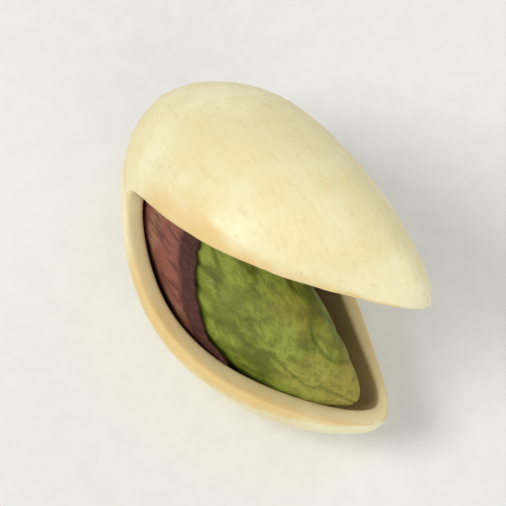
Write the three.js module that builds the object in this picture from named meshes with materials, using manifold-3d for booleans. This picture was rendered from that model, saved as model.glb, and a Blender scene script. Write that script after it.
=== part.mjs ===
// A pistachio in its shell: two woody valves joined at the stem end and split open at the mouth, the
// kernel lying in the lower valve, and the papery seed coat still round the kernel's stem end.
// Millimetres, +Z up. +X runs along the nut from the stem end to the mouth, and the wide side of the
// split faces -Y. The origin is on the ground, under the middle of the nut's box.
import * as THREE from 'three';
import { mergeVertices } from 'three/addons/utils/BufferGeometryUtils.js';
import Module from 'manifold-3d';

const wasm = await Module();
wasm.setup();

// The shell, as it was before its valves parted.
const LENGTH = 17.8;
const WIDTH = 9.3; // in the plane of the seam
const THICKNESS = 10.2; // through both valves
const WALL = 0.8;
const BELLY = 0.5; // how far the width is shifted to the front of the line through the stem
const DRIFT = 2; // how far the mouth end leans towards the back of the nut
const BEAK = 1; // how far the tips stand out past the round of the mouth end
const BEAK_HOOK = 0.7; // how far they also turn to the back
const BEAK_POWER = 9; // the higher, the nearer to the tips their beak begins

// The split. The backs of the valves lean apart from the stem end on. Their rims part from a hinge
// line that crosses the seam plane at a slant, so the split reaches further along the front of the
// nut than along its back.
const MOUTH_GAP = 7.4; // between the tips of the valves
const HINGE_FRONT = -4.25; // along X, where the split ends on the front seam
const HINGE_BACK = 1.6; // and on the back seam
const RIM_POWER = 0.64; // under 1, the gap between the rims opens quickly from its end
const BACK_POWER = 1.15; // over 1, the backs lean apart slowly at first
const RIM_REACH = 0.7; // how far up a valve's side the rim's bend dies away: 0 at the rim, 1 on its back

// How the nut lies: rolled back on its lower valve, so that the split looks forwards and up, with
// the mouth end lifted a little.
const ROLL = THREE.MathUtils.degToRad(21.4);
const PITCH = THREE.MathUtils.degToRad(12);
const REST_DEPTH = 0.16; // what the small flat that it rests on takes off the round of the valve

// The kernel, as it was before it sank into the lower valve, nearer the mouth and the front.
const KERNEL_LENGTH = 15;
const KERNEL_WIDTH = 5.6;
const KERNEL_THICKNESS = 7;
const KERNEL_BELLY = 0.5;
const KERNEL_TAPER = 0.12; // how much sharper its mouth end is than its stem end
const KERNEL_DRIFT = 2.5; // how far its tip leans towards the back
const KERNEL_CENTRE = [0.8, -0.6, -0.2];
const KERNEL_SINK = 0.82; // how far it has sunk, as a share of the lower valve's own fall

// The seed coat lies close over the kernel's stem end.
const COAT_GAP = 0.05;
const COAT_WALL = 0.14;
const COAT_EDGE = 1.3; // along X, where the coat ends at the height of the seam
const COAT_SLANT = THREE.MathUtils.degToRad(42); // its edge leans back to the stem end, going up

// Facets round the nut and along it.
const ROUND_STEPS = 32;
const LENGTH_STEPS = 22;
const GAP_STEPS = 14;
const BEYOND = 40; // reaches past the nut on every side

const shellForm = {
  length: LENGTH - BEAK,
  width: WIDTH,
  thickness: THICKNESS,
  belly: BELLY,
  taper: 0,
  beak: BEAK,
  hook: BEAK_HOOK,
  drift: DRIFT,
  centre: [0, 0, 0],
};
const kernelForm = {
  length: KERNEL_LENGTH,
  width: KERNEL_WIDTH,
  thickness: KERNEL_THICKNESS,
  belly: KERNEL_BELLY,
  taper: KERNEL_TAPER,
  beak: 0,
  hook: 0,
  drift: KERNEL_DRIFT,
  centre: KERNEL_CENTRE,
};

const hingeFoot = new THREE.Vector2(HINGE_FRONT, -WIDTH / 2 - BELLY);
const hingeRun = new THREE.Vector2(HINGE_BACK, WIDTH / 2 - BELLY).sub(hingeFoot).normalize();
const hingeToMouth = new THREE.Vector2(hingeRun.y, -hingeRun.x);

// Distance in the seam plane from the hinge line towards the mouth.
function fromHinge(x, y) {
  return new THREE.Vector2(x, y).sub(hingeFoot).dot(hingeToMouth);
}

// How far a rim has moved from the seam plane, at a distance from the hinge line.
const stem = -(LENGTH - BEAK) / 2;
const tip = (LENGTH + BEAK) / 2;
const tipDistance = fromHinge(tip, DRIFT + BEAK_HOOK);
function rimMove(distance) {
  return (MOUTH_GAP / 2) * Math.max(0, distance / tipDistance) ** RIM_POWER;
}

// How far the back of a valve has moved, at a place along X.
function backMove(x) {
  return (MOUTH_GAP / 2) * Math.max(0, (x - stem) / (tip - stem)) ** BACK_POWER;
}

// A form larger all round by swell.
function swollen(form, swell) {
  const { length, width, thickness } = form;
  const grown = { length: length + 2 * swell, width: width + 2 * swell, thickness: thickness + 2 * swell };
  return { ...form, ...grown };
}

// A closed ovoid with poles at the stem and the mouth. lift gives how far a point moves up, from its
// place in the seam plane and its bearing: 1 on the upper valve's back, 0 at the seam and -1 on the
// lower valve's back.
function ovoid({ length, width, thickness, belly, taper, beak, hook, drift, centre }, lift) {
  const girth = (t) => (1 - t) ** (0.5 + taper) * (1 + t) ** 0.5;
  const widest = girth(-taper / (1 + taper));
  const ball = new THREE.SphereGeometry(1, ROUND_STEPS, LENGTH_STEPS).rotateZ(-Math.PI / 2);
  const place = ball.getAttribute('position');
  for (let i = 0; i < place.count; i += 1) {
    const along = THREE.MathUtils.clamp(place.getX(i), -1, 1);
    const ring = Math.max(Math.hypot(place.getY(i), place.getZ(i)), 1e-6);
    const [aside, up] = [place.getY(i) / ring, place.getZ(i) / ring];
    const scale = girth(along) / widest;
    const toMouth = Math.max(0, along);
    const point = toMouth ** BEAK_POWER;
    const lean = drift * toMouth ** 2 + hook * point;
    const x = (along * length) / 2 + beak * point + centre[0];
    const y = scale * ((aside * width) / 2 - belly * aside ** 2) + lean + centre[1];
    const z = (scale * up * thickness) / 2 + centre[2];
    const bearing = Math.abs(up) < 1e-4 ? 0 : up;
    place.setXYZ(i, x, y, z + lift(x, y, bearing));
  }
  return ball;
}

// The open space between the parted valves: the gap's profile, drawn from the hinge line to past
// the mouth and extruded along the hinge line.
function splitSpace() {
  const reach = tipDistance * 1.5;
  const distances = Array.from({ length: GAP_STEPS + 1 }, (_, i) => reach * (i / GAP_STEPS) ** 1.5);
  const edge = (side) => (d) => new THREE.Vector2(d, side * rimMove(d));
  const upper = distances.map(edge(1));
  const lower = distances.slice(1).reverse().map(edge(-1));
  const space = new THREE.ExtrudeGeometry(new THREE.Shape([...upper, ...lower]), {
    depth: 2 * BEYOND,
    bevelEnabled: false,
  });
  const basis = new THREE.Matrix4().makeBasis(
    new THREE.Vector3(hingeToMouth.x, hingeToMouth.y, 0),
    new THREE.Vector3(0, 0, 1),
    new THREE.Vector3(-hingeRun.x, -hingeRun.y, 0),
  );
  return space.translate(0, 0, -BEYOND).applyMatrix4(basis).translate(hingeFoot.x, hingeFoot.y, 0);
}

// A solid that manifold-3d can cut, turned from the seam plane's frame to the way that the nut lies.
function solid(geometry) {
  const bare = geometry.clone().rotateX(-ROLL).rotateY(-PITCH);
  bare.deleteAttribute('normal');
  bare.deleteAttribute('uv');
  const merged = mergeVertices(bare, 1e-5);
  return new wasm.Manifold(
    new wasm.Mesh({
      numProp: 3,
      vertProperties: merged.getAttribute('position').array,
      triVerts: new Uint32Array(merged.index.array),
    }),
  );
}

function geometryOf(body) {
  const mesh = body.getMesh();
  const made = new THREE.BufferGeometry();
  made.setAttribute('position', new THREE.BufferAttribute(mesh.vertProperties, 3));
  made.setIndex(new THREE.BufferAttribute(mesh.triVerts, 1));
  return made.toNonIndexed();
}

function parted(x, y, bearing) {
  const upTheSide = THREE.MathUtils.smoothstep(Math.abs(bearing), 0, RIM_REACH);
  return Math.sign(bearing) * THREE.MathUtils.lerp(rimMove(fromHinge(x, y)), backMove(x), upTheSide);
}

// The two valves as one woody piece, with the small flat that the nut rests on.
function shell() {
  const outside = solid(ovoid(shellForm, parted));
  const hollow = solid(ovoid(swollen(shellForm, -WALL), parted));
  const low = outside.boundingBox().min[2];
  const ground = new THREE.BoxGeometry(BEYOND, BEYOND, BEYOND);
  ground.translate(0, 0, low + REST_DEPTH - BEYOND / 2).rotateY(PITCH).rotateX(ROLL);
  return outside.subtract(hollow).subtract(solid(splitSpace())).subtract(solid(ground));
}

function sunk(x) {
  return -KERNEL_SINK * backMove(x);
}

function kernel(swell = 0) {
  return solid(ovoid(swollen(kernelForm, swell), sunk));
}

// A skin of even wall, open where it ends part of the way along the kernel.
function seedCoat() {
  const bareEnd = new THREE.BoxGeometry(BEYOND, BEYOND, BEYOND).translate(BEYOND / 2, 0, 0);
  bareEnd.rotateY(-COAT_SLANT).translate(COAT_EDGE, 0, 0);
  return kernel(COAT_GAP + COAT_WALL).subtract(kernel(COAT_GAP)).subtract(solid(bareEnd));
}

const finishes = {
  shell: { color: 0xf2dcae, roughness: 0.5 },
  kernel: { color: 0x8e913f, roughness: 0.6 },
  seed_coat: { color: 0x93584a, roughness: 0.7 },
};

const bodies = { shell: shell(), kernel: kernel(), seed_coat: seedCoat() };
const { min, max } = bodies.shell.boundingBox();
const pistachio = new THREE.Group();
for (const [name, body] of Object.entries(bodies)) {
  const material = new THREE.MeshStandardMaterial({ ...finishes[name], metalness: 0 });
  const mesh = new THREE.Mesh(geometryOf(body), material);
  mesh.name = name;
  mesh.geometry.translate(-(min[0] + max[0]) / 2, -(min[1] + max[1]) / 2, -min[2]);
  mesh.geometry.computeVertexNormals();
  pistachio.add(mesh);
}

export default pistachio;
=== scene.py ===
"""A pistachio in its shell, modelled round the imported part: the split woody shell, the green kernel and
the papery seed coat, on a pale floor in soft light. Lengths are metres, and patterns and reliefs are laid
out in millimetres."""

import math

import bpy
from bpy.props import FloatProperty, FloatVectorProperty, IntProperty, PointerProperty
from mathutils import Matrix, Vector, noise


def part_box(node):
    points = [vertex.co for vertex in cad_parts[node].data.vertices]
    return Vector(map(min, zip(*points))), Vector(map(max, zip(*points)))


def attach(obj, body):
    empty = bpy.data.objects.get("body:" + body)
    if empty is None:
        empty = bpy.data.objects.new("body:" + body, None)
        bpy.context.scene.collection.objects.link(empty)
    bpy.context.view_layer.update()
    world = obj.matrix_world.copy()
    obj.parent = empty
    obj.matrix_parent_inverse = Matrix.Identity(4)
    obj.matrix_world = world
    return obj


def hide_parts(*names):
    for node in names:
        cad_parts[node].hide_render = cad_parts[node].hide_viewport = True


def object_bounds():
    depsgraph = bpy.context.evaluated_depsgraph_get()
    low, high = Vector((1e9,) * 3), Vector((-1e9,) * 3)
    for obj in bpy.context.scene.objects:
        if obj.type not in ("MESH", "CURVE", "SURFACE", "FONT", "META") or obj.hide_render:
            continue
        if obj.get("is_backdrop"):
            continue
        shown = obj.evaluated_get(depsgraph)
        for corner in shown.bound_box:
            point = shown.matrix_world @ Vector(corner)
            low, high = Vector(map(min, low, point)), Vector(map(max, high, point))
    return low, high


bl_info = {
    "name": "Pistachio in shell",
    "version": (1, 0, 0),
    "blender": (4, 5, 0),
    "location": "View3D > Sidebar > Pistachio",
    "description": "Models a split pistachio with its kernel and seed coat",
    "category": "Add Mesh",
}

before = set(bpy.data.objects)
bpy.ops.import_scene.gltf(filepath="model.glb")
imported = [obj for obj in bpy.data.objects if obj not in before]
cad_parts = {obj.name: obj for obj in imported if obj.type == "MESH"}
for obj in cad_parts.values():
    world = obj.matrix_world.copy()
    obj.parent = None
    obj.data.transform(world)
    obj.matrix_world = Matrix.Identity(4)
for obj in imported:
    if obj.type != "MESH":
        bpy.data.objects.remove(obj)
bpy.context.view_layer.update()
SHELL_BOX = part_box("shell")

MM = 0.001

# A point of the unit ball as near as this to the seam or to the axis is on it.
ON_SEAM = 1e-5

# A bearing that only tells the two valves apart at the seam.
AT_SEAM = 1e-9

# Where each relief is read in the noise, so that no two are alike.
SHELL_SWELL_AT = Vector((3.0, 1.0, 7.0))
KERNEL_SWELL_AT = Vector((5.0, 2.0, 1.0))
KERNEL_FURROW_AT = Vector((0.0, 4.0, 2.0))
COAT_TEAR_AT = Vector((2.0, 0.0, 5.0))

# The lights: name, place, size, power in watts and tint.
LIGHTS = (
    ("key", (-0.06, -0.26, 0.34), 0.22, 0.88, (1.0, 0.97, 0.92)),
    ("fill", (0.34, -0.06, 0.22), 0.30, 0.24, (1.0, 1.0, 1.0)),
    ("back", (-0.10, 0.34, 0.26), 0.30, 0.18, (1.0, 0.99, 0.97)),
)


# ---------------------------------------------------------------- sizes and colours


def length(name, description, millimetres):
    return FloatProperty(
        name=name, description=description, default=millimetres * MM, unit="LENGTH", precision=5
    )


def angle(name, description, degrees):
    return FloatProperty(
        name=name, description=description, default=math.radians(degrees), subtype="ANGLE"
    )


def share(name, description, value):
    return FloatProperty(name=name, description=description, default=value, subtype="FACTOR")


def number(name, description, value, unit="NONE"):
    return FloatProperty(name=name, description=description, default=value, unit=unit)


def colour(name, description, red, green, blue):
    return FloatVectorProperty(
        name=name, description=description, default=(red, green, blue), size=3, subtype="COLOR",
        min=0.0, max=1.0,
    )


class ShellSizes(bpy.types.PropertyGroup):
    """The nut's driving sizes, as it was before its valves parted, how they parted, and its relief."""

    length: length("Length", "Stem end to mouth", 17.8)
    width: length("Width", "Across the nut in the plane of its seam", 9.3)
    thickness: length("Thickness", "Through both valves", 10.2)
    wall: length("Wall", "Thickness of the woody shell", 0.8)
    belly: length("Belly", "How far the width is shifted to the front", 0.5)
    drift: length("Drift", "How far the mouth end leans towards the back", 2.0)
    beak: length("Beak", "How far the tips stand out past the round of the mouth", 1.0)
    beak_hook: length("Beak hook", "How far the tips also turn to the back", 0.7)
    beak_power: number("Beak power", "The higher, the nearer to the tips their beak begins", 9.0)
    mouth_gap: length("Mouth gap", "Between the tips of the valves", 7.4)
    hinge_front: length("Hinge, front", "Where the split ends on the front seam", -4.25)
    hinge_back: length("Hinge, back", "Where the split ends on the back seam", 1.6)
    rim_power: number("Rim power", "Under 1, the gap between the rims opens quickly", 0.64)
    back_power: number("Back power", "Over 1, the backs lean apart slowly at first", 1.15)
    rim_reach: share("Rim reach", "How far up a side the rim's bend dies away", 0.7)
    roll: angle("Roll", "How far the nut is rolled on its back", 21.4)
    pitch: angle("Pitch", "How far the mouth end is lifted", 12.0)
    rest_depth: length("Rest depth", "What the small flat takes off the round", 0.16)
    swell: length("Swell", "The height of its broad unevenness", 0.10)
    ripple: length("Ripple", "The height of its fine lengthwise ripple", 0.028)
    stem_furrow: length("Stem furrow", "The depth of the furrows that run from the stem end", 0.06)
    scar_radius: length("Scar radius", "Of the scar where the stalk held", 1.0)
    scar_depth: length("Scar depth", "How far the scar is sunk", 0.08)
    scar_grain: length("Scar grain", "The height of the scar's roughness", 0.06)
    scar_lip: length("Scar lip", "The height of the lip round the scar", 0.10)
    suture_width: length("Suture width", "Half the width of the line where the valves are joined", 0.17)
    suture_depth: length("Suture depth", "How far that line is sunk", 0.07)


class KernelSizes(bpy.types.PropertyGroup):
    """The kernel's driving sizes, as it was before it sank into the lower valve, and its relief."""

    length: length("Length", "Stem end to mouth end", 15.1)
    width: length("Width", "Across the kernel in the plane of the seam", 5.7)
    thickness: length("Thickness", "Along the nut's thickness", 7.1)
    belly: length("Belly", "How far the width is shifted to the front", 0.5)
    taper: share("Taper", "How much sharper the mouth end is than the stem end", 0.12)
    drift: length("Drift", "How far its tip leans towards the back", 2.5)
    ahead: length("Ahead", "How far it has slid towards the mouth", 0.8)
    forward: length("Forward", "How far it has slid towards the front", 0.6)
    down: length("Down", "How far all of it lies under the seam plane", 0.2)
    sink: share("Sink", "How far it has sunk, as a share of the lower valve's own fall", 0.82)
    swell: length("Swell", "The height of its broad unevenness", 0.16)
    wrinkle: length("Wrinkle", "The height of its fine wrinkles", 0.05)
    furrow: length("Furrow", "The depth of its lengthwise furrows", 0.09)


class CoatSizes(bpy.types.PropertyGroup):
    """The seed coat's driving sizes and its relief."""

    gap: length("Gap", "Between the kernel and its coat", 0.05)
    wall: length("Wall", "Thickness of the papery coat", 0.12)
    edge: length("Edge", "Where the coat ends along the nut", 1.3)
    slant: angle("Slant", "How far the coat's edge leans back to the stem", 42.0)
    # The dark band within this reach of the edge is painted shade of the crevice under the curled edge.
    edge_reach: length("Edge reach", "How far from its edge the coat is curled and dark", 2.0)
    lift: length("Lift", "How far the coat stands off", 0.02)
    crease: length("Crease", "The height of its creases", 0.03)
    curl: length("Curl", "How far its edge curls up", 0.10)
    tear: length("Tear", "How far its edge is torn", 0.30)


class NutColours(bpy.types.PropertyGroup):
    """The nut's colours, as linear light."""

    cream: colour("Cream", "The shell's main colour", 0.84, 0.75, 0.43)
    pale: colour("Pale", "The shell's bleached patches", 0.90, 0.85, 0.56)
    straw: colour("Straw", "The shell's yellow patches", 0.80, 0.68, 0.30)
    # Honey is a real stain from the rims, and also painted shade where each valve curves away near its rim.
    honey: colour("Honey", "Stains that spread from the rims", 0.74, 0.49, 0.155)
    tan: colour("Tan", "Stains on the rims and by the stem", 0.58, 0.37, 0.14)
    scar: colour("Scar", "The scar where the stalk held", 0.20, 0.11, 0.055)
    # The lining is darker and yellower than the cream wall would be: painted shade inside the shell and a
    # painted green reflection of the kernel.
    lining: colour("Lining", "The shell's smooth inner wall", 0.60, 0.48, 0.25)
    green: colour("Green", "The kernel's main colour", 0.275, 0.335, 0.042)
    # Olive is the kernel's own darker mottle, and also painted shade in its furrows and wrinkle troughs.
    olive: colour("Olive", "The kernel's darker stretches", 0.115, 0.13, 0.010)
    gold: colour("Gold", "The kernel's ripe mouth end", 0.40, 0.33, 0.060)
    rose: colour("Rose", "The seed coat's main colour", 0.26, 0.085, 0.060)
    # Plum is the coat's own colour in its veins, and painted shade in the band along its torn edge.
    plum: colour("Plum", "The seed coat's torn edge and veins", 0.050, 0.011, 0.008)
    buff: colour("Buff", "The seed coat's dry patches", 0.34, 0.165, 0.10)
    floor: colour("Floor", "The floor", 0.84, 0.84, 0.83)


class NutDetail(bpy.types.PropertyGroup):
    """How finely the pieces are modelled. The shell's cuts are odd, so that a row of points is its seam."""

    shell_cuts: IntProperty(name="Shell cuts", description="Cuts along an edge", default=39)
    kernel_cuts: IntProperty(name="Kernel cuts", description="Cuts along an edge", default=31)


class StageSettings(bpy.types.PropertyGroup):
    """Where the camera stands, and the room round the floor."""

    azimuth: angle("Azimuth", "The camera's bearing, from the front towards +X", 62.0)
    elevation: angle("Elevation", "How high the camera looks from", 64.5)
    distance: length("Distance", "From the nut to the camera", 160.0)
    aim_drop: length("Aim drop", "How far under the middle of the nut the camera aims", 0.6)
    lens: number("Lens", "The camera's focal length", 250.0, unit="CAMERA")
    room_light: number("Room light", "How bright the plain room is", 0.56)
    floor_size: length("Floor size", "Along each side of the floor", 3000.0)


class NutSettings(bpy.types.PropertyGroup):
    """All that a user would change."""

    shell: PointerProperty(type=ShellSizes, name="Shell", description="The shell's sizes")
    kernel: PointerProperty(type=KernelSizes, name="Kernel", description="The kernel's sizes")
    coat: PointerProperty(type=CoatSizes, name="Seed coat", description="The seed coat's sizes")
    colours: PointerProperty(type=NutColours, name="Colours", description="Colours")
    detail: PointerProperty(type=NutDetail, name="Detail", description="Mesh detail")
    stage: PointerProperty(type=StageSettings, name="Stage", description="Camera and room")


# ---------------------------------------------------------------- the nut's form


def smoothstep(low, high, value):
    t = min(max((value - low) / (high - low), 0.0), 1.0)
    return t * t * (3.0 - 2.0 * t)


def lerp(a, b, t):
    return a + (b - a) * t


def girth(along, taper):
    """How wide an ovoid is, before it is scaled, at a place from -1 to 1 along it."""
    return max(1.0 - along, 0.0) ** (0.5 + taper) * max(1.0 + along, 0.0) ** 0.5


def bearings(unit):
    """How far to the back and how far up a point of the unit ball faces, seen along its axis."""
    ring = math.hypot(unit.y, unit.z)
    return (unit.y / ring, unit.z / ring) if ring > ON_SEAM else (1.0, 0.0)


class NutForm:
    """The nut's form in the frame of its seam plane: +X to the mouth, the split's wide side at -Y."""

    def __init__(self, settings):
        shell = self.shell = settings.shell
        kernel = self.kernel = settings.kernel
        self.coat = settings.coat
        self.colours = settings.colours
        self.stem = -(shell.length - shell.beak) / 2
        self.tip = (shell.length + shell.beak) / 2
        self.foot = Vector((shell.hinge_front, -shell.width / 2 - shell.belly))
        head = Vector((shell.hinge_back, shell.width / 2 - shell.belly))
        run = (head - self.foot).normalized()
        self.to_mouth = Vector((run.y, -run.x))
        self.tip_distance = self.from_hinge(self.tip, shell.drift + shell.beak_hook)
        self.shell_half = Vector((-self.stem, shell.width / 2, shell.thickness / 2))
        self.kernel_half = Vector((kernel.length, kernel.width, kernel.thickness)) / 2
        self.kernel_centre = Vector((kernel.ahead, -kernel.forward, -kernel.down))
        self.pose = self.lie_down()

    def from_hinge(self, x, y):
        """Distance in the seam plane from the hinge line towards the mouth."""
        return (Vector((x, y)) - self.foot).dot(self.to_mouth)

    def rim_move(self, distance):
        """How far a rim has moved from the seam plane, at a distance from the hinge line."""
        return self.shell.mouth_gap / 2 * max(0.0, distance / self.tip_distance) ** self.shell.rim_power

    def back_move(self, x):
        """How far the back of a valve has moved, at a place along X."""
        along = max(0.0, (x - self.stem) / (self.tip - self.stem))
        return self.shell.mouth_gap / 2 * along**self.shell.back_power

    def parted(self, x, y, bearing):
        """How far a point of the shell has moved up, from its bearing: 1 on the upper valve's back, 0 at
        the seam and -1 on the lower valve's back."""
        up_the_side = smoothstep(0.0, self.shell.rim_reach, abs(bearing))
        moved = lerp(self.rim_move(self.from_hinge(x, y)), self.back_move(x), up_the_side)
        return math.copysign(moved, bearing) if bearing else 0.0

    def ovoid(self, unit, half, taper, belly, drift, beak=0.0, hook=0.0):
        """The place on a closed ovoid of a point of the unit ball."""
        along = min(max(unit.x, -1.0), 1.0)
        aside, up = bearings(unit)
        scale = girth(along, taper) / girth(-taper / (1 + taper), taper)
        to_mouth = max(0.0, along)
        point = to_mouth**self.shell.beak_power
        x = along * half.x + beak * point
        y = scale * (aside * half.y - belly * aside * aside) + drift * to_mouth**2 + hook * point
        return Vector((x, y, scale * up * half.z))

    def on_shell(self, unit, inset=0.0, side=0):
        """The place on the shell, or on its lining. side tells the valves apart at the seam."""
        shell = self.shell
        half = self.shell_half - Vector((inset,) * 3)
        spot = self.ovoid(unit, half, 0.0, shell.belly, shell.drift, shell.beak, shell.beak_hook)
        up = bearings(unit)[1]
        bearing = up if abs(up) > ON_SEAM else side * AT_SEAM
        spot.z += self.parted(spot.x, spot.y, bearing)
        return spot

    def margin(self, unit):
        """How near a point of the unit ball is to a rim: 1 at the rim, and 0 up the side or behind the
        hinge."""
        spot = self.on_shell(unit)
        up = abs(unit.z) / max(math.hypot(unit.y, unit.z), AT_SEAM)
        opened = smoothstep(-0.5, 2.5, self.from_hinge(spot.x, spot.y) / MM)
        return smoothstep(0.6, 0.0, up) * opened

    def on_kernel(self, unit, swell=0.0):
        """The place on the kernel, or on a form larger all round by swell."""
        kernel = self.kernel
        half = self.kernel_half + Vector((swell,) * 3)
        spot = self.ovoid(unit, half, kernel.taper, kernel.belly, kernel.drift) + self.kernel_centre
        spot.z -= kernel.sink * self.back_move(spot.x)
        return spot

    def lie_down(self, steps=120):
        """From the seam plane's frame to the part's frame, with the nut set down on its flat."""
        shell = self.shell
        turn = Matrix.Rotation(-shell.pitch, 4, "Y") @ Matrix.Rotation(-shell.roll, 4, "X")
        spots = []
        for i in range(1, steps):
            polar = math.pi * i / steps
            ring = math.sin(polar)
            for j in range(steps):
                turned = 2 * math.pi * (j + 0.5) / steps
                unit = Vector((math.cos(polar), ring * math.cos(turned), ring * math.sin(turned)))
                spots.append(turn @ self.on_shell(unit))
        low, high = (Vector(map(end, *spots)) for end in (min, max))
        offset = (SHELL_BOX[0] + SHELL_BOX[1] - low - high) / 2
        offset.z = SHELL_BOX[0].z - low.z - shell.rest_depth
        return Matrix.Translation(offset) @ turn


# ---------------------------------------------------------------- modelling helpers


def start_piece():
    """Leaves nothing selected before a primitive is added."""
    if bpy.context.object and bpy.context.object.mode != "OBJECT":
        bpy.ops.object.mode_set(mode="OBJECT")
    bpy.ops.object.select_all(action="DESELECT")


def quad_ball(name, radius, cuts):
    """A ball of even quads, from a cube that is cut up and drawn out to a sphere."""
    start_piece()
    bpy.ops.mesh.primitive_cube_add(size=2 * radius, location=(0, 0, 0))
    ball = bpy.context.object
    ball.name = ball.data.name = name
    bpy.ops.object.mode_set(mode="EDIT")
    bpy.ops.mesh.select_all(action="SELECT")
    bpy.ops.mesh.subdivide(number_cuts=cuts)
    bpy.ops.transform.tosphere(value=1.0)
    bpy.ops.object.mode_set(mode="OBJECT")
    return ball


def units_of(ball):
    """The direction of each point of a ball from its middle."""
    return [vertex.co.normalized() for vertex in ball.data.vertices]


def edit_edges(piece, wanted):
    """Enters edit mode with only the wanted edges selected, given as a flag for each edge."""
    mesh = piece.data
    for elements in (mesh.vertices, mesh.polygons):
        elements.foreach_set("select", [False] * len(elements))
    mesh.edges.foreach_set("select", wanted)
    bpy.context.tool_settings.mesh_select_mode = (False, True, False)
    bpy.ops.object.mode_set(mode="EDIT")


def apply_modifier(piece, kind, **settings):
    bpy.context.view_layer.objects.active = piece
    modifier = piece.modifiers.new(kind.title(), kind)
    for key, value in settings.items():
        setattr(modifier, key, value)
    bpy.ops.object.modifier_apply(modifier=modifier.name)


def subdivide(piece, levels=1):
    apply_modifier(piece, "SUBSURF", levels=levels, render_levels=levels)


def shade_smooth(piece):
    start_piece()
    piece.select_set(True)
    bpy.context.view_layer.objects.active = piece
    bpy.ops.object.shade_smooth()


def move_points(piece, moves):
    for vertex, move in zip(piece.data.vertices, moves):
        vertex.co += move


def weigh_points(piece, name, weights):
    """Makes a vertex group, which keeps its weights through modifiers and edits."""
    group = piece.vertex_groups.new(name=name)
    for index, weight in enumerate(weights):
        group.add([index], weight, "REPLACE")


def weights_of(piece, name):
    """The weight of each point in a vertex group."""
    index = piece.vertex_groups[name].index
    found = []
    for vertex in piece.data.vertices:
        found.append(sum(group.weight for group in vertex.groups if group.group == index))
    return found


def write_attributes(piece, **layers):
    """Writes one number for each point of the mesh, for its material to read. A vertex group of the same
    name would be in the way, so the groups are cleared first."""
    piece.vertex_groups.clear()
    for name, values in layers.items():
        piece.data.attributes.new(name, "FLOAT", "POINT").data.foreach_set("value", values)


def finish_piece(piece, node, material):
    """Hands a finished piece, placed in its mesh, to the frame."""
    piece.data.materials.clear()
    piece.data.materials.append(material)
    shade_smooth(piece)
    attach(piece, "root")
    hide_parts(node)


def drawn_out(spot, along, across):
    """A place for noise to be read at, whose pattern is coarser along the nut than across it."""
    return Vector((spot.x * along, spot.y * across, spot.z * across))


def fractal(place, layers):
    """Layered smooth noise between about -1 and 1."""
    return noise.fractal(place, 1.0, 2.0, layers, noise_basis="PERLIN_ORIGINAL")


# ---------------------------------------------------------------- shader helpers


class Wire:
    """A node's output. Arithmetic on wires and numbers adds the Math nodes that work it out."""

    def __init__(self, nodes, socket):
        self.nodes = nodes
        self.socket = socket

    def math(self, operation, *values):
        node = self.nodes.add("ShaderNodeMath", dict(operation=operation), *values)
        return self.nodes.out(node)

    def __add__(self, other):
        return self.math("ADD", self, other)

    def __radd__(self, other):
        return self.math("ADD", other, self)

    def __sub__(self, other):
        return self.math("SUBTRACT", self, other)

    def __rsub__(self, other):
        return self.math("SUBTRACT", other, self)

    def __mul__(self, other):
        return self.math("MULTIPLY", self, other)

    def __rmul__(self, other):
        return self.math("MULTIPLY", other, self)


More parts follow.
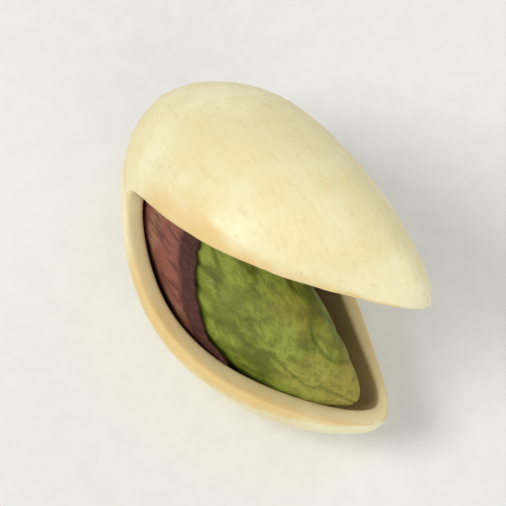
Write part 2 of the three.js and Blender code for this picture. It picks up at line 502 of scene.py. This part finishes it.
class Nodes:
    """The node tree of one material."""

    def __init__(self, name):
        self.material = bpy.data.materials.new(name)
        self.material.use_nodes = True
        self.tree = self.material.node_tree
        self.tree.nodes.clear()

    def add(self, kind, settings=None, *values, **named):
        """Adds a node of a type. Its settings are set first, then the values or links of its sockets, by
        their order or by name with _ for a space."""
        node = self.tree.nodes.new(kind)
        for key, value in (settings or {}).items():
            setattr(node, key, value)
        sockets = list(zip(node.inputs, values))
        sockets += [(node.inputs[key.replace("_", " ")], value) for key, value in named.items()]
        for socket, value in sockets:
            self.feed(socket, value)
        return node

    def feed(self, socket, value):
        if isinstance(value, Wire):
            self.tree.links.new(value.socket, socket)
        else:
            socket.default_value = value

    def out(self, node, name=0):
        return Wire(self, node.outputs[name])

    def place(self):
        """Object coordinates."""
        return self.out(self.add("ShaderNodeTexCoord"), "Object")

    def seam_frame(self, pose):
        """Object coordinates turned to the seam plane's frame, in millimetres."""
        mapping = self.add(
            "ShaderNodeMapping",
            dict(vector_type="TEXTURE"),
            self.place(),
            tuple(pose.to_translation()),
            tuple(pose.to_euler("XYZ")),
            (MM, MM, MM),
        )
        return self.out(mapping)

    def along(self, vector):
        """How far along the nut a place is."""
        return self.out(self.add("ShaderNodeSeparateXYZ", None, vector), "X")

    def drawn_out(self, vector, along, across):
        """A place for noise to be read at, whose pattern is coarser along the nut than across it."""
        scale = (along, across, across)
        node = self.add("ShaderNodeVectorMath", dict(operation="MULTIPLY"), vector, scale)
        return self.out(node)

    def noise(self, vector, scale, detail=3.0, roughness=0.5, distortion=0.0):
        node = self.add(
            "ShaderNodeTexNoise",
            dict(noise_dimensions="3D"),
            Vector=vector,
            Scale=scale,
            Detail=detail,
            Roughness=roughness,
            Distortion=distortion,
        )
        return self.out(node, "Fac")

    def cells(self, vector, scale):
        return self.out(self.add("ShaderNodeTexVoronoi", None, Vector=vector, Scale=scale), "Distance")

    def step(self, value, low, high, to_low=0.0, to_high=1.0):
        """Smoothly from to_low where value is at low, to to_high where it is at high."""
        settings = dict(interpolation_type="SMOOTHSTEP", clamp=True)
        return self.out(self.add("ShaderNodeMapRange", settings, value, low, high, to_low, to_high))

    def mix(self, factor, first, second):
        """From the first colour, where factor is 0, to the second, where it is 1."""
        node = self.add("ShaderNodeMix", dict(data_type="RGBA"), factor)
        for name, shade in (("A_Color", first), ("B_Color", second)):
            socket = next(socket for socket in node.inputs if socket.identifier == name)
            self.feed(socket, shade if isinstance(shade, Wire) else (*shade, 1.0))
        return self.out(node, 2)

    def attribute(self, name):
        return self.out(self.add("ShaderNodeAttribute", dict(attribute_name=name)), "Fac")

    def bump(self, height, strength, depth):
        """A surface normal from a height. depth is how deep the relief looks, in millimetres."""
        node = self.add("ShaderNodeBump", None, Strength=strength, Distance=depth * MM, Height=height)
        return self.out(node)

    def surface(self, **named):
        shader = self.add("ShaderNodeBsdfPrincipled", None, **named)
        output = self.add("ShaderNodeOutputMaterial")
        self.tree.links.new(shader.outputs[0], output.inputs["Surface"])
        return self.material


# ---------------------------------------------------------------- materials


def shell_material(form):
    """Cream woody shell: mottled, stained by the rims and the stem, with a fine grain and few specks;
    painted shade along the rims, and a lining darkened and yellowed as painted shade and a painted kernel
    reflection.
    """
    n = Nodes("nut_shell")
    colours = form.colours
    spot = n.seam_frame(form.pose)
    stem = -form.shell.length / MM / 2
    inside = n.attribute("inside")

    blotch = n.noise(spot, 0.22, detail=4.0, roughness=0.6)
    patch = n.noise(n.drawn_out(spot, 0.5, 1.0), 0.35, detail=3.0, roughness=0.55)
    grain = n.noise(n.drawn_out(spot, 0.35, 1.6), 2.2, detail=6.0, roughness=0.65)
    fine = n.noise(spot, 9.0, detail=5.0, roughness=0.7)
    pits = n.step(n.cells(n.drawn_out(spot, 0.6, 1.0), 2.6), 0.0, 0.35)
    specks = n.step(n.cells(spot, 1.6), 0.10, 0.04) * n.step(n.noise(spot, 0.9, detail=2.0), 0.5, 0.62)

    by_stem = n.step(n.along(spot) + patch * 2.5, stem + 4.2, stem + 0.8)
    # Painted shade as well as stain: honey spreads from the rims, darkening each valve where it curves away
    # towards its rim.
    rim_stain_and_shade_mask = n.step(n.attribute("margin") + (patch - 0.5) * 1.8, 0.25, 1.05)
    on_rim = n.step(n.attribute("rim") + (blotch - 0.5) * 0.7, 0.35, 1.0)

    base = n.mix(n.step(blotch, 0.38, 0.64), colours.cream, colours.pale)
    base = n.mix(n.step(patch, 0.55, 0.75) * 0.55, base, colours.straw)
    base = n.mix(n.step(grain, 0.5, 0.8) * 0.28, base, colours.tan)
    base = n.mix(by_stem * 0.42, base, colours.tan)
    base = n.mix(rim_stain_and_shade_mask * 0.75, base, colours.honey)
    base = n.mix(on_rim * 0.32, base, colours.tan)
    base = n.mix(n.attribute("suture") * 0.4, base, colours.tan)
    base = n.mix(specks * 0.5, base, colours.tan)
    scar = n.mix(n.step(fine, 0.35, 0.7), colours.scar, colours.tan)
    base = n.mix(n.attribute("scar") * 0.85, base, scar)
    # The lining colour carries painted shade and a painted green reflection of the kernel.
    lining = n.mix(n.step(patch, 0.4, 0.7) * 0.5, colours.lining, colours.tan)
    base = n.mix(inside, base, lining)

    height = grain * 0.5 + fine * 0.35 + pits * 0.25
    return n.surface(
        Base_Color=base,
        Roughness=n.step(grain, 0.3, 0.75, 0.42, 0.58) - inside * 0.08,
        Normal=n.bump(height * (1.0 - inside * 0.6), 0.35, depth=0.12),
        Subsurface_Weight=0.08,
        Subsurface_Radius=(1.2 * MM, 0.8 * MM, 0.4 * MM),
        Subsurface_Scale=1.0,
        IOR=1.48,
    )


def kernel_material(form):
    """Green seed flesh: mottled, with painted shade in its furrows and wrinkle troughs, yellow towards its
    mouth end.
    """
    n = Nodes("nut_kernel")
    colours = form.colours
    spot = n.seam_frame(form.pose)
    patch = n.noise(spot, 0.32, detail=3.0, roughness=0.55)
    mottle = n.noise(n.drawn_out(spot, 0.5, 1.2), 0.9, detail=4.0, roughness=0.6)
    wrinkle = n.noise(n.drawn_out(spot, 0.3, 1.3), 2.4, detail=6.0, roughness=0.65, distortion=0.6)
    fine = n.noise(spot, 11.0, detail=4.0, roughness=0.7)
    ripe = n.step(n.along(spot) + (patch - 0.5) * 9.0, 4.6, 8.2)

    base = n.mix(n.step(mottle, 0.36, 0.62), colours.olive, colours.green)
    base = n.mix(ripe * 0.8, base, colours.gold)
    # Painted shade: olive laid into the troughs of the wrinkle relief and into the sunk furrows.
    base = n.mix(n.step(wrinkle, 0.52, 0.40) * 0.45, base, colours.olive)
    base = n.mix(n.attribute("furrow") * 0.6, base, colours.olive)
    return n.surface(
        Base_Color=base,
        Roughness=n.step(fine, 0.3, 0.7, 0.42, 0.6),
        Normal=n.bump(wrinkle * 0.7 + fine * 0.3, 0.5, depth=0.22),
        Specular_IOR_Level=0.35,
        Subsurface_Weight=0.12,
        Subsurface_Radius=(1.0 * MM, 1.2 * MM, 0.3 * MM),
        Subsurface_Scale=1.0,
        IOR=1.46,
    )


def coat_material(form):
    """Papery pink-brown skin with darker veins, and a streaked plum band of painted shade along its edge.
    """
    n = Nodes("seed_coat")
    colours = form.colours
    spot = n.seam_frame(form.pose)
    vein = n.noise(n.drawn_out(spot, 0.25, 1.5), 1.8, detail=5.0, roughness=0.6, distortion=0.8)
    patch = n.noise(spot, 0.55, detail=3.0, roughness=0.6)
    fine = n.noise(spot, 12.0, detail=4.0, roughness=0.7)
    streak = n.noise(n.drawn_out(spot, 0.6, 2.2), 2.6, detail=5.0, roughness=0.7)
    # Painted shade: the dark plum band along the torn edge stands for the crevice between the coat and the
    # kernel.
    edge_shade = n.step(n.attribute("edge") + (patch - 0.5) * 1.2 + (vein - 0.5) * 1.0, 0.28, 0.72)

    base = n.mix(n.step(patch, 0.42, 0.66), colours.rose, colours.buff)
    base = n.mix(n.step(vein, 0.52, 0.40) * 0.6, base, colours.plum)
    base = n.mix(edge_shade * n.step(streak, 0.42, 0.62, 0.86, 1.0), base, colours.plum)
    return n.surface(
        Base_Color=base,
        Roughness=n.step(patch, 0.3, 0.7, 0.5, 0.68),
        Normal=n.bump(vein * 0.7 + fine * 0.3, 0.5, depth=0.2),
        Specular_IOR_Level=0.3,
        Subsurface_Weight=0.05,
        Subsurface_Radius=(1.0 * MM, 0.5 * MM, 0.3 * MM),
        Subsurface_Scale=1.0,
    )


def floor_material(colours):
    """Pale matte board with the faintest tooth."""
    n = Nodes("floor")
    tooth = n.noise(n.place(), 900.0)
    shade = tuple(channel * 0.97 for channel in colours.floor)
    return n.surface(
        Base_Color=n.mix(n.step(tooth, 0.3, 0.7), shade, colours.floor),
        Roughness=0.75,
        Normal=n.bump(tooth, 0.05, depth=0.1),
    )


# ---------------------------------------------------------------- operators


class PISTACHIO_OT_shell(bpy.types.Operator):
    """Models the split shell: one closed wall with rounded rims, a stem scar and a small resting flat"""

    bl_idname = "pistachio.shell"
    bl_label = "Shell"

    def execute(self, context):
        settings = context.scene.pistachio
        form = NutForm(settings)
        shell = quad_ball("shell_valves", settings.shell.length / 2, settings.detail.shell_cuts)
        self.part_valves(shell, form)
        self.shape_walls(shell, form)
        subdivide(shell)
        self.add_relief(shell, form)
        shell.data.transform(form.pose)
        self.press_flat(shell)
        finish_piece(shell, "shell", shell_material(form))
        return {"FINISHED"}

    def part_valves(self, shell, form):
        """Cuts the seam open from the mouth to the hinge line."""
        units = units_of(shell)
        open_seam = []
        for unit in units:
            spot = form.on_shell(unit)
            open_seam.append(abs(unit.z) < ON_SEAM and form.from_hinge(spot.x, spot.y) > 0)
        edit_edges(shell, [all(open_seam[i] for i in edge.vertices) for edge in shell.data.edges])
        bpy.ops.mesh.edge_split(type="EDGE")
        bpy.ops.object.mode_set(mode="OBJECT")

    def shape_walls(self, shell, form):
        """Shapes the outer wall, copies it inwards as the lining, and bridges the two at the rim."""
        sides = self.valve_sides(shell)
        units = units_of(shell)
        points = shell.data.vertices
        for vertex, unit, side in zip(points, units, sides):
            vertex.co = form.on_shell(unit, side=side)

        bpy.ops.object.mode_set(mode="EDIT")
        bpy.ops.mesh.select_all(action="SELECT")
        bpy.ops.mesh.duplicate()
        bpy.ops.mesh.flip_normals()
        bpy.ops.object.mode_set(mode="OBJECT")
        points = shell.data.vertices
        lining = points[len(units):]
        for vertex, unit, side in zip(lining, units, sides):
            vertex.co = form.on_shell(unit, form.shell.wall, side)
        weigh_points(shell, "inside", [0.0] * len(units) + [1.0] * len(lining))
        weigh_points(shell, "margin", [form.margin(unit) for unit in units])

        bpy.ops.object.mode_set(mode="EDIT")
        bpy.ops.mesh.select_non_manifold(
            extend=False, use_wire=False, use_boundary=True, use_multi_face=False,
            use_non_contiguous=False, use_verts=False,
        )
        bpy.ops.mesh.bridge_edge_loops(number_cuts=2, interpolation="LINEAR")
        bpy.ops.mesh.select_mode(type="VERT")
        bpy.ops.object.mode_set(mode="OBJECT")
        weigh_points(shell, "rim", [float(vertex.select) for vertex in shell.data.vertices])

    def valve_sides(self, shell):
        """1 for a point of the upper valve, -1 for one of the lower, 0 where they are still joined, told
        by the height of the faces round it."""
        heights = [0.0] * len(shell.data.vertices)
        for face in shell.data.polygons:
            for index in face.vertices:
                heights[index] += face.center.z
        # No face beside the seam has its middle as near to the seam as this.
        level = max(vertex.co.z for vertex in shell.data.vertices) / 1000
        return [0 if abs(height) < level else int(math.copysign(1, height)) for height in heights]

    def add_relief(self, shell, form):
        """Small unevenness that light picks up, the furrows and the scar at the stem end, the line where
        the valves are still joined, and what the material reads."""
        sizes = form.shell
        layers = {name: weights_of(shell, name) for name in ("inside", "rim", "margin")}
        scars, sutures, moves = [], [], []
        for vertex, inside in zip(shell.data.vertices, layers["inside"]):
            spot = vertex.co / MM
            outside = 1.0 - inside
            scar, lip = (outside * weight for weight in self.scar_and_lip(spot, sizes))
            suture = outside * self.suture(spot, form)
            to_stem = smoothstep(-0.225, -0.49, vertex.co.x / sizes.length)
            relief = (
                sizes.swell * fractal(spot * 0.16 + SHELL_SWELL_AT, 2)
                + sizes.ripple * fractal(drawn_out(spot, 0.315, 0.9), 3)
                + sizes.stem_furrow * to_stem * fractal(drawn_out(spot, 0.165, 1.1), 3)
                + sizes.scar_lip * lip
                + scar * (sizes.scar_grain * fractal(spot * 2.6, 3) - sizes.scar_depth)
                - sizes.suture_depth * suture
            )
            moves.append(vertex.normal * outside * relief)
            scars.append(scar)
            sutures.append(suture)
        move_points(shell, moves)
        write_attributes(shell, scar=scars, suture=sutures, **layers)

    def scar_and_lip(self, spot, sizes):
        """How much of the stalk's ragged scar, and of the lip round it, there is at a place."""
        if spot.x > -0.4 * sizes.length / MM:
            return 0.0, 0.0
        from_middle = math.hypot(spot.y, spot.z) * (1.0 + 0.16 * fractal(spot * 1.3, 2))
        past_edge = from_middle - sizes.scar_radius / MM
        return smoothstep(0.2, -0.2, past_edge), math.exp(-(((past_edge - 0.15) / 0.3) ** 2))

    def suture(self, spot, form):
        """How much of the line where the valves are still joined there is at a place."""
        joined = smoothstep(0.0, -0.9, form.from_hinge(spot.x * MM, spot.y * MM) / MM)
        return joined * math.exp(-((spot.z * MM / form.shell.suture_width) ** 2))

    def press_flat(self, shell):
        """Presses what is below the ground up to it, as the small flat that the nut rests on."""
        ground = SHELL_BOX[0].z
        for vertex in shell.data.vertices:
            vertex.co.z = max(vertex.co.z, ground)


class PISTACHIO_OT_kernel(bpy.types.Operator):
    """Models the kernel: the sunk seed with its wrinkles and shallow furrows"""

    bl_idname = "pistachio.kernel"
    bl_label = "Kernel"

    def execute(self, context):
        settings = context.scene.pistachio
        form = NutForm(settings)
        seed = quad_ball("kernel_seed", settings.shell.length / 2, settings.detail.kernel_cuts)
        for vertex, unit in zip(seed.data.vertices, units_of(seed)):
            vertex.co = form.on_kernel(unit)
        subdivide(seed)
        self.wrinkle(seed, form.kernel)
        seed.data.transform(form.pose)
        finish_piece(seed, "kernel", kernel_material(form))
        return {"FINISHED"}

    def wrinkle(self, seed, sizes):
        """Raises the broad unevenness and the fine wrinkles, and sinks the furrows."""
        furrows, moves = [], []
        for vertex in seed.data.vertices:
            spot = vertex.co / MM
            ridge = 1.0 - abs(noise.noise(drawn_out(spot, 0.11, 0.55) + KERNEL_FURROW_AT))
            furrow = smoothstep(0.93, 1.0, ridge)
            relief = (
                sizes.swell * fractal(spot * 0.2 + KERNEL_SWELL_AT, 2)
                + sizes.wrinkle * fractal(drawn_out(spot, 0.4, 1.3), 4)
                - sizes.furrow * furrow
            )
            moves.append(vertex.normal * relief)
            furrows.append(furrow)
        move_points(seed, moves)
        write_attributes(seed, furrow=furrows)


class PISTACHIO_OT_seed_coat(bpy.types.Operator):
    """Models the seed coat: a thin wrinkled skin over the kernel's stem end, torn at its edge"""

    bl_idname = "pistachio.seed_coat"
    bl_label = "Seed coat"

    def execute(self, context):
        settings = context.scene.pistachio
        form = NutForm(settings)
        sizes = form.coat
        foot = Vector((sizes.edge, 0.0, 0.0))
        facing = Vector((math.cos(sizes.slant), 0.0, math.sin(sizes.slant)))
        skin = quad_ball("seed_coat_skin", settings.shell.length / 2, settings.detail.kernel_cuts)
        for vertex, unit in zip(skin.data.vertices, units_of(skin)):
            vertex.co = form.on_kernel(unit, sizes.gap)
        self.cut_edge(foot, facing)
        subdivide(skin)
        self.wrinkle(skin, sizes, foot, facing)
        apply_modifier(skin, "SOLIDIFY", thickness=sizes.wall, offset=1.0)
        write_attributes(skin, edge=weights_of(skin, "edge"))
        skin.data.transform(form.pose)
        finish_piece(skin, "seed_coat", coat_material(form))
        return {"FINISHED"}

    def cut_edge(self, foot, facing):
        """Takes away what is past the coat's slanting edge."""
        bpy.ops.object.mode_set(mode="EDIT")
        bpy.ops.mesh.select_all(action="SELECT")
        bpy.ops.mesh.bisect(plane_co=foot, plane_no=facing, clear_outer=True, use_fill=False)
        bpy.ops.object.mode_set(mode="OBJECT")

    def wrinkle(self, skin, sizes, foot, facing):
        """Tears and lifts the skin's edge, wrinkles the rest, and weighs how near the edge a point is."""
        nearness, moves = [], []
        for vertex in skin.data.vertices:
            spot = vertex.co / MM
            near = smoothstep(sizes.edge_reach, 0.0, (foot - vertex.co).dot(facing))
            torn = near * fractal(spot.cross(facing) * 0.9 + COAT_TEAR_AT, 4)
            crease = fractal(drawn_out(spot, 0.3, 1.2), 3)
            lift = sizes.lift + sizes.crease * crease + sizes.curl * near * near
            moves.append(vertex.normal * lift + facing * sizes.tear * torn)
            nearness.append(near)
        move_points(skin, moves)
        weigh_points(skin, "edge", nearness)


class PISTACHIO_OT_stage(bpy.types.Operator):
    """Sets the floor, the soft lights and the camera"""

    bl_idname = "pistachio.stage"
    bl_label = "Stage"

    def execute(self, context):
        settings = context.scene.pistachio
        self.add_floor(context, settings)
        self.add_lights(context)
        self.add_room(context, settings.stage)
        self.add_camera(context, settings.stage)
        return {"FINISHED"}

    def add_floor(self, context, settings):
        start_piece()
        bpy.ops.mesh.primitive_plane_add(size=settings.stage.floor_size, location=(0, 0, 0))
        floor = context.object
        floor.name = "floor"
        floor.data.materials.append(floor_material(settings.colours))
        floor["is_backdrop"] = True

    def add_lights(self, context):
        middle = Vector((0, 0, 5 * MM))
        for name, place, size, power, tint in LIGHTS:
            bpy.ops.object.light_add(type="AREA", location=place)
            light = context.object
            light.name = name
            light.data.shape = "DISK"
            light.data.size = size
            light.data.energy = power
            light.data.color = tint
            light.rotation_euler = (middle - Vector(place)).to_track_quat("-Z", "Y").to_euler()
            light.visible_camera = False

    def add_room(self, context, stage):
        room = bpy.data.worlds.new("soft_room")
        room.use_nodes = True
        background = room.node_tree.nodes["Background"]
        background.inputs["Color"].default_value = (1.0, 1.0, 1.0, 1.0)
        background.inputs["Strength"].default_value = stage.room_light
        context.scene.world = room

    def add_camera(self, context, stage):
        level = math.cos(stage.elevation)
        back = Vector(
            (
                math.sin(stage.azimuth) * level,
                -math.cos(stage.azimuth) * level,
                math.sin(stage.elevation),
            )
        )
        low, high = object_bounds()
        aim = (low + high) / 2 - Vector((0.0, 0.0, stage.aim_drop))
        bpy.ops.object.camera_add(location=aim + back * stage.distance)
        camera = context.object
        camera.name = "camera"
        camera.rotation_euler = (-back).to_track_quat("-Z", "Y").to_euler()
        camera.data.lens = stage.lens
        camera.data.clip_start = 5 * MM
        camera.data.clip_end = 20.0
        context.scene.camera = camera
        context.scene.view_settings.view_transform = "Standard"


PIECES = (PISTACHIO_OT_shell, PISTACHIO_OT_kernel, PISTACHIO_OT_seed_coat, PISTACHIO_OT_stage)
GROUPS = (ShellSizes, KernelSizes, CoatSizes, NutColours, NutDetail, StageSettings, NutSettings)


class PISTACHIO_PT_panel(bpy.types.Panel):
    """Lists the pieces, in the order in which they are made, and what a user would change"""

    bl_idname = "PISTACHIO_PT_panel"
    bl_label = "Pistachio in shell"
    bl_space_type = "VIEW_3D"
    bl_region_type = "UI"
    bl_category = "Pistachio"

    def draw(self, context):
        for piece in PIECES:
            self.layout.operator(piece.bl_idname)
        settings = context.scene.pistachio
        for heading in NutSettings.__annotations__:
            group = getattr(settings, heading)
            box = self.layout.box()
            box.label(text=settings.bl_rna.properties[heading].name)
            for name in type(group).__annotations__:
                box.prop(group, name)


CLASSES = (*GROUPS, *PIECES, PISTACHIO_PT_panel)


def register():
    for cls in CLASSES:
        bpy.utils.register_class(cls)
    bpy.types.Scene.pistachio = PointerProperty(type=NutSettings)


def unregister():
    del bpy.types.Scene.pistachio
    for cls in reversed(CLASSES):
        bpy.utils.unregister_class(cls)


def main():
    register()
    bpy.ops.pistachio.shell()
    bpy.ops.pistachio.kernel()
    bpy.ops.pistachio.seed_coat()
    bpy.ops.pistachio.stage()


if __name__ == "__main__":
    main()
